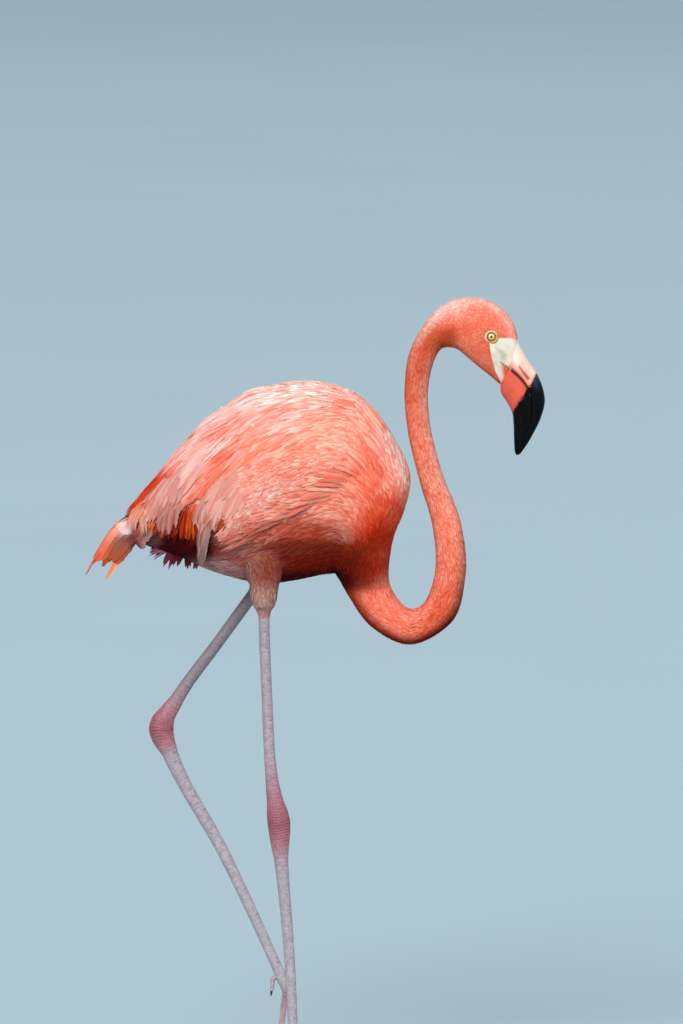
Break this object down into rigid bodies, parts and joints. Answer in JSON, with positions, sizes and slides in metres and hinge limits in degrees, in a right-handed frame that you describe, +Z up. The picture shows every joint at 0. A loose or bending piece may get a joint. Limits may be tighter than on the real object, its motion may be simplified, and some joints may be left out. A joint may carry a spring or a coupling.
{
  "type": "american flamingo display model",
  "caption": "Life-size still model of an adult American flamingo, walking with one foot lifted, on a flat rounded base.",
  "frame": {"origin": "centre of the underside of the stand's base", "axes": "+Z up; +X ahead, the way the bird faces; +Y towards the bird's left side"},
  "size_m": [0.5031, 0.24, 0.901],
  "materials": {
    "plumage": "small coral feathers, soft and dry, over the trunk and head",
    "neck_plumage": "short dense orange-coral feathers, soft",
    "wing_plumage": "long pale pink and coral feathers with loose webs",
    "tail_plumage": "short drooping tail feathers, soft",
    "thigh_plumage": "short pale feathers, soft",
    "bill": "horn, smooth and slightly shiny: ivory and pink at the root, black at the tip",
    "eye": "wet eye, glossy, with a yellow iris",
    "leg_skin": "bare scaly skin, dry",
    "ankle_skin": "bare wrinkled skin, dry",
    "foot_skin": "bare scaly skin with webs, dry",
    "claws": "horn, smooth",
    "base": "painted flat board, matt"
  },
  "bodies": {
    "root": {"ankle_left": "ankle_skin", "ankle_right": "ankle_skin", "bill_lower": "bill", "bill_upper": "bill", "claw_hind_left": "claws", "claw_hind_right": "claws", "claw_inner_left": "claws", "claw_inner_right": "claws", "claw_middle_left": "claws", "claw_middle_right": "claws", "claw_outer_left": "claws", "claw_outer_right": "claws", "eye_left": "eye", "eye_right": "eye", "foot_left": "foot_skin", "foot_right": "foot_skin", "head": "plumage", "hind_toe_left": "foot_skin", "hind_toe_right": "foot_skin", "neck_loop_lower": "neck_plumage", "neck_loop_upper": "neck_plumage", "neck_middle": "neck_plumage", "neck_rise": "neck_plumage", "neck_root": "neck_plumage", "neck_upper": "neck_plumage", "stand_base": "base", "tail": "tail_plumage", "tarsus_left": "leg_skin", "tarsus_right": "leg_skin", "thigh_left": "thigh_plumage", "thigh_right": "thigh_plumage", "tibia_left": "leg_skin", "tibia_right": "leg_skin", "trunk": "plumage", "wing_left": "wing_plumage", "wing_right": "wing_plumage"}
  },
  "joints": []
}
